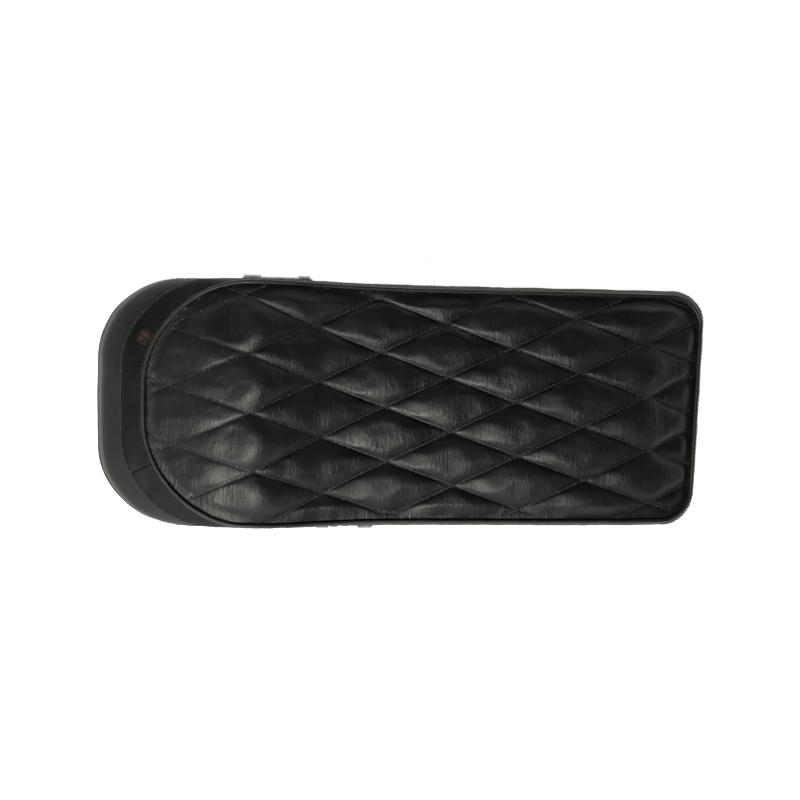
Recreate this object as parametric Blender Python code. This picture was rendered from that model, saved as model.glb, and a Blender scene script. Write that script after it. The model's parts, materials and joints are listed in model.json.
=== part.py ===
"""Motorcycle bench seat: steel pan, foam, quilted cover, side hinge and latch.

Metres. +X is the front of the machine, +Y its left side, +Z up; z = 0 is the
plane under the four rubber buffers. The hinge is on the left edge and the latch
is on the right edge, and both ends are slanted a little.
"""

import math

import bmesh
import bpy
from mathutils import Matrix, Vector

# Plan of the cover at five heights: half width, rear end, front end, and the
# corner radii at the rear and at the front.
HEM = (0.1225, 0.3185, 0.3154, 0.076, 0.034)
BULGE = (0.1260, 0.3210, 0.3174, 0.078, 0.034)
WAIST = (0.1258, 0.3138, 0.3164, 0.081, 0.034)
SEAM = (0.1236, 0.2940, 0.3126, 0.090, 0.034)
WELT = (0.1185, 0.2715, 0.3058, 0.102, 0.034)

# The ends aren't square: the left side reaches further forward and further back,
# and the tail is bowed.
NOSE_SLANT = 0.040
NOSE_START = 0.16
NOSE_LENGTH = 0.15
TAIL_SLANT = 0.010
TAIL_BOW = 0.30
TAIL_START = -0.20
TAIL_LENGTH = 0.10

# Above the hem the sides swell round the hump, and the piping there swells most.
SWELL_X = -0.150
SWELL_REACH = 0.085
SIDE_SWELL = 0.0026
WELT_SWELL = 0.0042

# Points round a plan, from the middle of the front edge to that of the rear.
FRONT_STEPS = 3
FRONT_CORNER_STEPS = 4
SIDE_STEPS = 13
REAR_CORNER_STEPS = 6
REAR_STEPS = 2
HALF_LOOP = (
    FRONT_STEPS + FRONT_CORNER_STEPS + SIDE_STEPS + REAR_CORNER_STEPS + REAR_STEPS
)
LOOP = 2 * HALF_LOOP

# Stations along the seat: x, height of the centre line, height of the welt.
STATIONS = (
    (-0.271, 0.087, 0.084),
    (-0.235, 0.102, 0.089),
    (-0.195, 0.116, 0.096),
    (-0.160, 0.121, 0.100),
    (-0.125, 0.111, 0.097),
    (-0.092, 0.100, 0.091),
    (-0.045, 0.097, 0.088),
    (0.050, 0.100, 0.088),
    (0.150, 0.103, 0.089),
    (0.230, 0.098, 0.086),
    (0.305, 0.080, 0.077),
)
SPINE_REAR = -0.185
SPINE_FRONT = 0.225
CROWN_POWER = 2.4

# Cover and padding
HEM_Z = 0.0240
VINYL = 0.0016
GAP = 0.0003
BAND_DROP = 0.016
WELT_RADIUS = 0.0022
WADDING = 0.0080
HEM_RETURN = 0.0120
SEAM_GAP_STEP = 0.015
REAR_SEAM_STEP = 20
FRONT_SEAM_STEP = 5
BAND_SEAM_STEP = 24.3

# Pan and cross members
SHEET = 0.0012
PAN_Z = 0.0380
PAN_TOP_Z = PAN_Z + SHEET
LIP_Z = HEM_Z + VINYL + 0.0002
LIP_IN = 0.0100
SWAGE_HALF = 0.125
SWAGE_Y = 0.040
SWAGE_RADIUS = 0.0090
DRAIN_RADIUS = 0.008
DRAIN_AT = ((0.262, 0.0), (0.090, 0.088), (0.030, -0.088), (-0.262, 0.0))
CROSS_X = 0.185
CROSS_HALF = 0.082
CROSS_SHEET = 0.0015
CROWN_Z = 0.0240

# Buffers
BUFFER_Y = 0.058
BUFFER_PROFILE = (
    (0.0, 0.0),
    (0.0135, 0.0),
    (0.0160, 0.0025),
    (0.0160, 0.0080),
    (0.0145, 0.0105),
    (0.0145, 0.0237),
    (0.0070, 0.0237),
    (0.0070, 0.0258),
    (0.0094, 0.0258),
    (0.0090, 0.0275),
    (0.0055, 0.0345),
    (0.0, 0.0345),
)

# Edge hardware: the hinge on the left edge and the latch on the right edge
AXIS_Y = 0.1285
AXIS_Z = 0.0170
PIN_RADIUS = 0.0030
PIN_HOLE = 0.0033
EYE_RADIUS = 0.0065
SMALL_EYE_RADIUS = 0.0047
PLATE_IN_Y = 0.0840
PLATE_OUT_Y = 0.1070
PLATE_SHEET = 0.0025
BOLT_Y = 0.0945
HINGE_STRAPS = ((-0.1725, -0.1540), (-0.1145, -0.1025))
LATCH_STRAPS = ((-0.0920, -0.0790), (-0.0475, -0.0325))
LEAF_SHEET = 0.0030
LEAF_BOTTOM_Z = 0.0015
LEAF_HOLE_Z = 0.0070
HOOK_X = (-0.0770, -0.0690)

# Clips: along the edge, as (x, y direction) or (x direction, y)
SIDE_CLIPS = (
    ("left_1", 0.245, 1),
    ("left_2", 0.060, 1),
    ("left_3", -0.045, 1),
    ("left_4", -0.215, 1),
    ("right_1", 0.245, -1),
    ("right_2", 0.105, -1),
    ("right_3", 0.010, -1),
    ("right_4", -0.170, -1),
)
END_CLIPS = (("front_1", 0.045, 1), ("front_2", -0.045, 1), ("rear_1", 0.0, -1))

COLOURS = {
    "quilt_leather": ((0.012, 0.012, 0.012), 0.0, 0.42),
    "side_vinyl": ((0.022, 0.023, 0.020), 0.0, 0.60),
    "welt_vinyl": ((0.016, 0.016, 0.015), 0.0, 0.45),
    "wadding": ((0.62, 0.60, 0.52), 0.0, 0.95),
    "foam": ((0.70, 0.62, 0.36), 0.0, 0.95),
    "pan_paint": ((0.018, 0.018, 0.019), 0.0, 0.50),
    "zinc_steel": ((0.48, 0.49, 0.50), 1.0, 0.42),
    "spring_steel": ((0.20, 0.21, 0.23), 1.0, 0.38),
    "buffer_rubber": ((0.018, 0.018, 0.018), 0.0, 0.80),
}


def clear_scene():
    for obj in list(bpy.data.objects):
        bpy.data.objects.remove(obj, do_unlink=True)


def make_collection(name):
    made = bpy.data.collections.new(name)
    bpy.context.scene.collection.children.link(made)
    return made


def make_materials():
    made = {}
    for name, (colour, metallic, roughness) in COLOURS.items():
        material = bpy.data.materials.new(name)
        material.use_nodes = True
        shader = material.node_tree.nodes["Principled BSDF"]
        shader.inputs["Base Color"].default_value = (*colour, 1.0)
        shader.inputs["Metallic"].default_value = metallic
        shader.inputs["Roughness"].default_value = roughness
        made[name] = material
    return made


def add_mesh(name, bm, material, collection):
    bmesh.ops.recalc_face_normals(bm, faces=bm.faces)
    mesh = bpy.data.meshes.new(name)
    bm.to_mesh(mesh)
    bm.free()
    mesh.materials.append(MATERIALS[material])
    obj = bpy.data.objects.new(name, mesh)
    collection.objects.link(obj)
    return obj


def smooth_along(x, column):
    """Height at x from the stations, by a cubic through them."""
    last = len(STATIONS) - 1
    if x <= STATIONS[0][0]:
        return STATIONS[0][column]
    if x >= STATIONS[last][0]:
        return STATIONS[last][column]
    i = max(k for k in range(last) if STATIONS[k][0] <= x)
    lo, hi = max(i - 1, 0), min(i + 2, last)
    x0, x1 = STATIONS[i][0], STATIONS[i + 1][0]
    z0, z1 = STATIONS[i][column], STATIONS[i + 1][column]
    span = x1 - x0
    m0 = (z1 - STATIONS[lo][column]) / (x1 - STATIONS[lo][0]) * span
    m1 = (STATIONS[hi][column] - z0) / (STATIONS[hi][0] - x0) * span
    t = (x - x0) / span
    return (
        (2 * t**3 - 3 * t**2 + 1) * z0
        + (t**3 - 2 * t**2 + t) * m0
        + (3 * t**2 - 2 * t**3) * z1
        + (t**3 - t**2) * m1
    )


def deck_z(x):
    return smooth_along(x, 1)


def welt_z(x):
    return smooth_along(x, 2)


def seam_z(x):
    return welt_z(x) - BAND_DROP


def side_z(x, part):
    """Height at this part of the way from the hem up to the lower seam."""
    return HEM_Z + part * (seam_z(x) - HEM_Z)


def mix_plans(a, b, t):
    return tuple(p + t * (q - p) for p, q in zip(a, b))


def arc(cx, cy, radius, start, end, steps):
    points = []
    for i in range(steps):
        angle = math.radians(start + (end - start) * i / steps)
        points.append((cx + radius * math.cos(angle), cy + radius * math.sin(angle)))
    return points


def line(start, end, steps):
    return [
        (
            start[0] + (end[0] - start[0]) * i / steps,
            start[1] + (end[1] - start[1]) * i / steps,
        )
        for i in range(steps)
    ]


def slanted(x, y):
    """x moved forward or back with y, more and more towards either end."""
    nose = min(max((x - NOSE_START) / NOSE_LENGTH, 0.0), 1.0)
    tail = min(max((TAIL_START - x) / TAIL_LENGTH, 0.0), 1.0)
    return x + y * NOSE_SLANT * nose + (TAIL_BOW * y * y - TAIL_SLANT * y) * tail


def swollen(x, y, plan):
    """y moved outward round the hump; the hem stays straight."""
    if plan is HEM:
        return y
    most = WELT_SWELL if plan is WELT else SIDE_SWELL
    near = math.exp(-(((x - SWELL_X) / SWELL_REACH) ** 2))
    return y * (1.0 + most * near / plan[0])


def plan_loop(plan, inset=0.0):
    """Points round a plan, anticlockwise from the middle of the front edge."""
    half, rear, front, r_rear, r_front = (value - inset for value in plan)
    front_x, front_y = front - r_front, half - r_front
    rear_x, rear_y = -(rear - r_rear), half - r_rear
    left = line((front, 0.0), (front, front_y), FRONT_STEPS)
    left += arc(front_x, front_y, r_front, 0, 90, FRONT_CORNER_STEPS)
    left += line((front_x, half), (rear_x, half), SIDE_STEPS)
    left += arc(rear_x, rear_y, r_rear, 90, 180, REAR_CORNER_STEPS)
    left += line((-rear, rear_y), (-rear, 0.0), REAR_STEPS)
    right = [(x, -y) for x, y in reversed(left[1:])]
    return [(x, swollen(x, y, plan)) for x, y in left + [(-rear, 0.0)] + right]


def ring(plan, height, inset=0.0):
    """A plan as points in space; height is a number or a function of x."""
    points = []
    for x, y in plan_loop(plan, inset):
        z = height(x) if callable(height) else height
        points.append(Vector((slanted(x, y), y, z)))
    return points


def ring_at(points, step):
    """The point at this fractional step round a ring."""
    low = math.floor(step)
    a = points[low % LOOP]
    b = points[(low + 1) % LOOP]
    return a.lerp(b, step - low)


def steps_between(start, end):
    """The start, every whole step between, and the end."""
    whole = range(math.ceil(start + 0.2), math.floor(end - 0.2) + 1)
    return [start, *whole, end]


def skin_closed_rings(bm, rings):
    """Quads between neighbouring rings, each ring a closed loop of vertices."""
    for low, high in zip(rings, rings[1:]):
        count = len(low)
        for i in range(count):
            j = (i + 1) % count
            bm.faces.new((low[i], low[j], high[j], high[i]))


def ring_solid(name, rings, material, collection):
    """A solid from stacked closed rings, with flat ends."""
    bm = bmesh.new()
    made = [[bm.verts.new(point) for point in points] for points in rings]
    skin_closed_rings(bm, made)
    bm.faces.new(made[0])
    bm.faces.new(made[-1])
    return add_mesh(name, bm, material, collection)


def strip_solid(name, rings, ends, start, end, material):
    """A strip whose section runs through the rings in turn; ends lists its end faces."""
    bm = bmesh.new()
    columns = []
    for step in steps_between(start, end):
        columns.append([bm.verts.new(ring_at(points, step)) for points in rings])
    skin_closed_rings(bm, columns)
    for face in ends:
        bm.faces.new([columns[0][i] for i in face])
        bm.faces.new([columns[-1][i] for i in face])
    return add_mesh(name, bm, material, SEAT)


def deck_point(rim_x, rim_y, share, drop):
    """A rim point moved in toward the spine and lifted onto the crowned deck."""
    spine = min(max(rim_x, SPINE_REAR), SPINE_FRONT)
    x = spine + share * (rim_x - spine)
    y = share * rim_y
    rim, top = welt_z(x), deck_z(x)
    z = rim + (top - rim) * (1.0 - share**CROWN_POWER) - drop
    return Vector((slanted(x, y), y, z))


def deck_sheet(bm, rim_loop, drop):
    """A crowned surface from the rim loop to the spine; returns the rim vertices."""
    rows = []
    for share in (1.0, 0.86, 0.58, 0.28, 0.0):
        points = [deck_point(x, y, share, drop) for x, y in rim_loop]
        rows.append([bm.verts.new(point) for point in points])
    skin_closed_rings(bm, rows)
    return rows[0]


def deck_panel(name, inset, top_drop, bottom_drop, material, collection):
    """A sheet of even depth that follows the deck."""
    rim_loop = plan_loop(WELT, inset)
    bm = bmesh.new()
    top = deck_sheet(bm, rim_loop, top_drop)
    bottom = deck_sheet(bm, rim_loop, bottom_drop)
    skin_closed_rings(bm, [bottom, top])
    bmesh.ops.remove_doubles(bm, verts=bm.verts, dist=1e-6)
    return add_mesh(name, bm, material, collection)


def prism(bm, profile, axis, start, end):
    """A flat outline carried along X or Y; profile is (y, z) or (x, z) points."""
    ends = []
    for place in (start, end):
        if axis == "X":
            ends.append([bm.verts.new((place, a, b)) for a, b in profile])
        else:
            ends.append([bm.verts.new((a, place, b)) for a, b in profile])
    skin_closed_rings(bm, ends)
    bm.faces.new(ends[0])
    bm.faces.new(ends[1])


def circle(cy, cz, radius, steps, turn=0.0):
    return [
        (
            cy + radius * math.cos(2 * math.pi * i / steps + turn),
            cz + radius * math.sin(2 * math.pi * i / steps + turn),
        )
        for i in range(steps)
    ]


def lathe(name, profile, steps, matrix, material, collection):
    """A turned solid: (radius, height) points from the axis round to the axis."""
    bm = bmesh.new()
    rings = []
    for radius, height in profile[1:-1]:
        rings.append([bm.verts.new((a, b, height)) for a, b in circle(0, 0, radius, steps)])
    skin_closed_rings(bm, rings)
    bm.faces.new(rings[0])
    bm.faces.new(rings[-1])
    bm.transform(matrix)
    return add_mesh(name, bm, material, collection)


def helper(name, bm):
    """A cutter or an added block, which is not part of the seat itself."""
    obj = add_mesh(name, bm, "zinc_steel", CUTTERS)
    obj.hide_render = True
    obj.display_type = "WIRE"
    return obj


def combine(obj, other, operation):
    modifier = obj.modifiers.new(other.name, "BOOLEAN")
    modifier.operation = operation
    modifier.solver = "EXACT"
    modifier.object = other


def upright_helper(name, places, radius, low, high, steps):
    """Upright round or hexagonal bars at several places, as one helper."""
    bm = bmesh.new()
    for x, y in places:
        rings = [
            [bm.verts.new((a, b, z)) for a, b in circle(x, y, radius, steps)]
            for z in (low, high)
        ]
        skin_closed_rings(bm, rings)
        bm.faces.new(rings[0])
        bm.faces.new(rings[1])
    return helper(name, bm)


def capsule_points(x, y, z, radius, lid):
    """Points on a flattened ball, none higher above its centre than the lid."""
    points = [Vector((x, y, z + min(0.8 * radius, lid))), Vector((x, y, z - 0.8 * radius))]
    for row in range(1, 6):
        rise = math.radians(30 * row - 90)
        high = min(0.8 * radius * math.sin(rise), lid)
        for a, b in circle(x, y, radius * math.cos(rise), 12):
            points.append(Vector((a, b, z + high)))
    return points


def swage_helper(name, radius, lid):
    """Two lengthways capsules centred in the pan's sheet, cut off at the lid height."""
    bm = bmesh.new()
    centre_z = PAN_Z + SHEET / 2
    for y in (-SWAGE_Y, SWAGE_Y):
        points = capsule_points(-SWAGE_HALF, y, centre_z, radius, lid)
        points += capsule_points(SWAGE_HALF, y, centre_z, radius, lid)
        corners = [bm.verts.new(point) for point in points]
        bmesh.ops.convex_hull(bm, input=corners)
    spare = [vert for vert in bm.verts if not vert.link_faces]
    bmesh.ops.delete(bm, geom=spare, context="VERTS")
    bmesh.ops.remove_doubles(bm, verts=bm.verts, dist=1e-6)
    return helper(name, bm)


def bolt_places():
    """Where the four bracket bolts pass through the pan."""
    places = []
    for straps, side in ((HINGE_STRAPS, 1), (LATCH_STRAPS, -1)):
        inner_rear, inner_front = straps[0][1], straps[1][0]
        places.append((inner_rear + 0.006, side * BOLT_Y))
        places.append((inner_front - 0.006, side * BOLT_Y))
    return places


def build_pan():
    rings = [
        ring(HEM, PAN_TOP_Z, 0.0034),
        ring(HEM, PAN_TOP_Z - 0.0015, 0.0019),
        ring(HEM, LIP_Z, 0.0019),
        ring(HEM, LIP_Z, LIP_IN),
        ring(HEM, LIP_Z + SHEET, LIP_IN),
        ring(HEM, LIP_Z + SHEET, 0.0019 + SHEET),
        ring(HEM, PAN_Z - 0.0010, 0.0019 + SHEET),
        ring(HEM, PAN_Z, 0.0040),
    ]
    pan = ring_solid("seat_pan", rings, "pan_paint", SEAT)
    nuts = upright_helper("weld_nuts", bolt_places(), 0.0065, PAN_Z + 0.0006, 0.0440, 6)
    combine(pan, nuts, "UNION")
    outer = swage_helper("swage_outer", SWAGE_RADIUS, 0.0002)
    combine(pan, outer, "UNION")
    inner = swage_helper("swage_inner", SWAGE_RADIUS - SHEET, 0.05)
    combine(pan, inner, "DIFFERENCE")
    bolts = upright_helper("bolt_holes", bolt_places(), 0.00325, 0.030, 0.050, 12)
    combine(pan, bolts, "DIFFERENCE")
    drains = upright_helper("drain_holes", DRAIN_AT, DRAIN_RADIUS, 0.030, 0.050, 16)
    combine(pan, drains, "DIFFERENCE")


def build_foam():
    """The moulded foam block, from the pan up to the underside of the wadding."""
    low = PAN_TOP_Z + GAP
    bm = bmesh.new()
    drop = VINYL + WADDING + 2 * GAP
    rim_loop = plan_loop(WELT, 0.0050)
    top = deck_sheet(bm, rim_loop, drop)
    sides = [
        ring(SEAM, seam_z, 0.0034),
        ring(WAIST, lambda x: side_z(x, 0.66), 0.0036),
        ring(BULGE, low, 0.0050),
    ]
    rings = [top] + [[bm.verts.new(point) for point in points] for points in sides]
    skin_closed_rings(bm, rings)
    bm.faces.new(rings[-1])
    bmesh.ops.remove_doubles(bm, verts=bm.verts, dist=1e-6)
    foam = add_mesh("foam_core", bm, "foam", SEAT)
    pockets = upright_helper("nut_pockets", bolt_places(), 0.009, 0.030, 0.0465, 12)
    combine(foam, pockets, "DIFFERENCE")


def build_deck():
    deck_panel("quilt_wadding", 0.0046, VINYL + GAP, VINYL + GAP + WADDING, "wadding", SEAT)
    deck_panel("quilted_panel", WELT_RADIUS + GAP, 0.0, VINYL, "quilt_leather", SEAT)


def build_welt():
    """The piping, a round section carried all the way round the upper edge."""
    bm = bmesh.new()
    centre = ring(WELT, lambda x: welt_z(x) - 0.0006)
    spine = Vector((0.0, 0.0, 1.0))
    sections = []
    for i, point in enumerate(centre):
        along = (centre[(i + 1) % LOOP] - centre[i - 1]).normalized()
        out = along.cross(spine).normalized()
        up = out.cross(along)
        section = []
        for a, b in circle(0.0, 0.0, WELT_RADIUS, 6):
            section.append(bm.verts.new(point + out * a + up * b))
        sections.append(section)
    skin_closed_rings(bm, [*sections, sections[0]])
    add_mesh("welt_piping", bm, "welt_vinyl", SEAT)


def build_band():
    """The shoulder strip between the piping and the lower seam, in two lengths."""
    upper = mix_plans(WELT, SEAM, 0.14)
    middle = tuple(a + b for a, b in zip(mix_plans(WELT, SEAM, 0.55), (0.0008,) * 5))

    rings = [
        ring(upper, lambda x: welt_z(x) - 0.0033),
        ring(middle, lambda x: welt_z(x) - 0.0085),
        ring(SEAM, lambda x: seam_z(x) + GAP),
        ring(SEAM, lambda x: seam_z(x) + GAP, VINYL),
        ring(middle, lambda x: welt_z(x) - 0.0089, VINYL),
        ring(upper, lambda x: welt_z(x) - 0.0043, VINYL),
    ]
    ends = ((0, 1, 4, 5), (1, 2, 3, 4))
    gap = SEAM_GAP_STEP
    left, right = BAND_SEAM_STEP, LOOP - BAND_SEAM_STEP
    strip_solid("band_rear", rings, ends, left + gap, right - gap, "quilt_leather")
    strip_solid("band_front", rings, ends, right + gap, LOOP + left - gap, "quilt_leather")


def build_skirt():
    """The side walls in four panels, each turned in under the pan's lip."""
    rings = [
        ring(SEAM, seam_z),
        ring(WAIST, lambda x: side_z(x, 0.66)),
        ring(BULGE, lambda x: side_z(x, 0.30)),
        ring(HEM, HEM_Z + 0.0014),
        ring(HEM, HEM_Z, 0.0012),
        ring(HEM, HEM_Z, HEM_RETURN),
        ring(HEM, HEM_Z + VINYL - 0.0001, HEM_RETURN),
        ring(HEM, HEM_Z + VINYL - 0.0001, VINYL),
        ring(BULGE, lambda x: side_z(x, 0.30), VINYL),
        ring(WAIST, lambda x: side_z(x, 0.66), VINYL),
        ring(SEAM, seam_z, VINYL),
    ]
    ends = ((0, 1, 9, 10), (1, 2, 8, 9), (2, 3, 7, 8), (3, 4, 7), (4, 5, 6, 7))
    gap = SEAM_GAP_STEP
    front, rear = FRONT_SEAM_STEP, REAR_SEAM_STEP
    panels = (
        ("skirt_front", -front, front),
        ("skirt_left", front, rear),
        ("skirt_rear", rear, LOOP - rear),
        ("skirt_right", LOOP - rear, LOOP - front),
    )
    for name, start, end in panels:
        strip_solid(name, rings, ends, start + gap, end - gap, "side_vinyl")


def build_hem_clips():
    """Spring clips that grip the turned-in hem on the pan's lip."""
    web = HEM_RETURN + GAP
    low, high = HEM_Z - GAP, LIP_Z + SHEET + GAP
    thick = 0.0008
    section = [
        (0.0035, low - thick),
        (web + thick, low - thick),
        (web + thick, high + thick),
        (0.0050, high + thick),
        (0.0050, high),
        (web, high),
        (web, low),
        (0.0035, low),
    ]
    for name, x, side in SIDE_CLIPS:
        bm = bmesh.new()
        profile = [(side * (HEM[0] - depth), z) for depth, z in section]
        prism(bm, profile, "X", x - 0.009, x + 0.009)
        add_mesh("hem_clip_" + name, bm, "spring_steel", SEAT)
    for name, y, side in END_CLIPS:
        bm = bmesh.new()
        end = HEM[2] if side > 0 else HEM[1]
        profile = [(side * (end - depth), z) for depth, z in section]
        prism(bm, profile, "Y", y - 0.009, y + 0.009)
        for vert in bm.verts:
            vert.co.x = slanted(vert.co.x, vert.co.y)
        add_mesh("hem_clip_" + name, bm, "spring_steel", SEAT)


def build_cross_member(name, x):
    top = PAN_Z - GAP
    t = CROSS_SHEET
    half = [
        (0.0300, top),
        (0.0300, top - t),
        (0.0195, top - t),
        (0.0165, CROWN_Z),
    ]
    inside = [
        (0.0165 - t - 0.0002, CROWN_Z + t),
        (0.0195 - t, top),
    ]
    profile = [(x + a, z) for a, z in half]
    profile += [(x - a, z) for a, z in reversed(half)]
    profile += [(x - a, z) for a, z in reversed(inside)]
    profile += [(x + a, z) for a, z in inside]
    bm = bmesh.new()
    prism(bm, profile, "Y", -CROSS_HALF, CROSS_HALF)
    member = add_mesh(name, bm, "pan_paint", SEAT)
    places = ((x, BUFFER_Y), (x, -BUFFER_Y))
    holes = upright_helper(name + "_holes", places, 0.0073, 0.020, 0.030, 16)
    combine(member, holes, "DIFFERENCE")


def build_buffers():
    for end, x in (("front", CROSS_X), ("rear", -CROSS_X)):
        for side, y in (("left", BUFFER_Y), ("right", -BUFFER_Y)):
            place = Matrix.Translation((x, y, 0.0))
            name = "buffer_" + end + "_" + side
            lathe(name, BUFFER_PROFILE, 16, place, "buffer_rubber", SEAT)


def build_bracket(name, straps, side):
    """A bolted plate with two straps that end in eyes below the edge of the seat."""
    start, end = straps[0][0], straps[1][1]
    top = PAN_Z - GAP
    low = top - PLATE_SHEET
    t = PLATE_SHEET
    plate = [(PLATE_IN_Y, low), (PLATE_OUT_Y, low), (PLATE_OUT_Y, top), (PLATE_IN_Y, top)]
    bm = bmesh.new()
    prism(bm, [(side * y, z) for y, z in plate], "X", start, end)
    bracket = add_mesh(name, bm, "zinc_steel", SEAT)
    run_z = AXIS_Z + SMALL_EYE_RADIUS - t
    strap = [
        (PLATE_OUT_Y - t, low + 0.001),
        (PLATE_OUT_Y - t, run_z),
        (AXIS_Y, run_z),
        (AXIS_Y, run_z + t - 0.0001),
        (PLATE_OUT_Y, run_z + t - 0.0001),
        (PLATE_OUT_Y - 0.00001, low + 0.001),
    ]
    for number, (x0, x1) in enumerate(straps):
        arm = bmesh.new()
        prism(arm, [(side * y, z) for y, z in strap], "X", x0, x1)
        combine(bracket, helper(f"{name}_strap_{number}", arm), "UNION")
        ring_bar = bmesh.new()
        prism(ring_bar, circle(side * AXIS_Y, AXIS_Z, EYE_RADIUS, 16), "X", x0, x1)
        combine(bracket, helper(f"{name}_eye_{number}", ring_bar), "UNION")
    bore = bmesh.new()
    outline = circle(side * AXIS_Y, AXIS_Z, PIN_HOLE, 12)
    prism(bore, outline, "X", start - 0.01, end + 0.01)
    combine(bracket, helper(name + "_bore", bore), "DIFFERENCE")
    places = [(straps[0][1] + 0.006, side * BOLT_Y), (straps[1][0] - 0.006, side * BOLT_Y)]
    holes = upright_helper(name + "_holes", places, 0.00325, 0.030, 0.042, 12)
    combine(bracket, holes, "DIFFERENCE")
    for number, (x, y) in enumerate(places, start=1):
        build_bolt(f"{name}_bolt_{number}", x, y)


def build_bolt(name, x, y):
    """A hexagon-head bolt from below, its head clear of the bracket by the gap."""
    head_top = PAN_Z - 2 * GAP - PLATE_SHEET
    flat = 0.0050
    hexagon = []
    for i in range(12):
        radius = flat / math.cos(math.pi / 6) if i % 2 == 0 else flat
        angle = math.pi * i / 6
        hexagon.append((radius * math.cos(angle), radius * math.sin(angle)))
    levels = [
        (hexagon, 0.90, head_top - 0.0040),
        (hexagon, 1.00, head_top - 0.0034),
        (hexagon, 1.00, head_top),
        (circle(0.0, 0.0, 0.0029, 12), 1.00, head_top),
        (circle(0.0, 0.0, 0.0029, 12), 1.00, 0.0430),
        (circle(0.0, 0.0, 0.0029, 12), 0.80, 0.0436),
    ]
    rings = [[Vector((x + a * k, y + b * k, z)) for a, b in loop] for loop, k, z in levels]
    ring_solid(name, rings, "zinc_steel", SEAT)


def build_pin(name, straps, side):
    """The pivot pin, headed at the rear end and grooved at the front end."""
    start, end = straps[0][0], straps[1][1]
    r = PIN_RADIUS
    profile = (
        (0.0, start - 0.0018),
        (0.0036, start - 0.0018),
        (0.0043, start - 0.0012),
        (0.0043, start - GAP),
        (r, start - GAP),
        (r, end + 0.0006),
        (0.0022, end + 0.0006),
        (0.0022, end + 0.0020),
        (r, end + 0.0020),
        (r, end + 0.0032),
        (r - 0.0007, end + 0.0038),
        (0.0, end + 0.0038),
    )
    turn = Matrix(((0, 0, 1, 0), (1, 0, 0, 0), (0, 1, 0, 0), (0, 0, 0, 1)))
    place = Matrix.Translation((0.0, side * AXIS_Y, AXIS_Z)) @ turn
    lathe(name, profile, 12, place, "zinc_steel", SEAT)


def build_ring_clip(name, straps, side):
    """The open spring ring that sits in the pin's groove."""
    x = straps[1][1] + 0.0009
    outline = []
    for radius, order in ((0.0046, range(11)), (0.0025, range(10, -1, -1))):
        for i in order:
            angle = math.radians(-60 + 30 * i)
            outline.append(
                (side * AXIS_Y + radius * math.cos(angle), AXIS_Z + radius * math.sin(angle))
            )
    bm = bmesh.new()
    prism(bm, outline, "X", x, x + 0.0008)
    add_mesh(name, bm, "spring_steel", SEAT)


def build_leaf(name, straps, side):
    """The frame-side leaf that hangs from the pin between the two eyes."""
    start, end = straps[0][1] + 0.0004, straps[1][0] - 0.0004
    bm = bmesh.new()
    prism(bm, circle(side * AXIS_Y, AXIS_Z, SMALL_EYE_RADIUS, 16), "X", start, end)
    leaf = add_mesh(name, bm, "zinc_steel", SEAT)
    half = LEAF_SHEET / 2
    y = side * AXIS_Y
    outline = [
        (y - half, LEAF_BOTTOM_Z),
        (y + half, LEAF_BOTTOM_Z),
        (y + half, AXIS_Z - 0.002),
        (y - half, AXIS_Z - 0.002),
    ]
    plate = bmesh.new()
    prism(plate, outline, "X", start + 0.0005, end - 0.0005)
    combine(leaf, helper(name + "_plate", plate), "UNION")
    bore = bmesh.new()
    prism(bore, circle(y, AXIS_Z, PIN_HOLE, 12), "X", start - 0.01, end + 0.01)
    combine(leaf, helper(name + "_bore", bore), "DIFFERENCE")
    holes = bmesh.new()
    for x in (start + 0.009, end - 0.009):
        prism(holes, circle(x, LEAF_HOLE_Z, 0.00275, 12), "Y", y - 0.01, y + 0.01)
    combine(leaf, helper(name + "_holes", holes), "DIFFERENCE")


def build_hook():
    """The latch hook; it hangs from its pin and catches a striker bar inside its nose."""
    y, z = AXIS_Y, AXIS_Z
    bm = bmesh.new()
    prism(bm, circle(-y, z, SMALL_EYE_RADIUS, 16), "X", *HOOK_X)
    hook = add_mesh("latch_hook", bm, "spring_steel", SEAT)
    outline = [
        (y - 0.0020, z - 0.0010),
        (y + 0.0022, z - 0.0010),
        (y + 0.0024, 0.0085),
        (y + 0.0046, 0.0052),
        (y + 0.0046, 0.0036),
        (y + 0.0012, 0.0030),
        (y - 0.0010, 0.0015),
        (y - 0.0112, 0.0015),
        (y - 0.0118, 0.0058),
        (y - 0.0098, 0.0058),
        (y - 0.0090, 0.0048),
        (y - 0.0032, 0.0048),
        (y - 0.0022, 0.0060),
    ]
    arm = bmesh.new()
    prism(arm, [(-a, b) for a, b in outline], "X", HOOK_X[0] + 0.0004, HOOK_X[1] - 0.0004)
    combine(hook, helper("latch_hook_arm", arm), "UNION")
    bore = bmesh.new()
    prism(bore, circle(-y, z, PIN_HOLE, 12), "X", HOOK_X[0] - 0.01, HOOK_X[1] + 0.01)
    combine(hook, helper("latch_hook_bore", bore), "DIFFERENCE")


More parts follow.
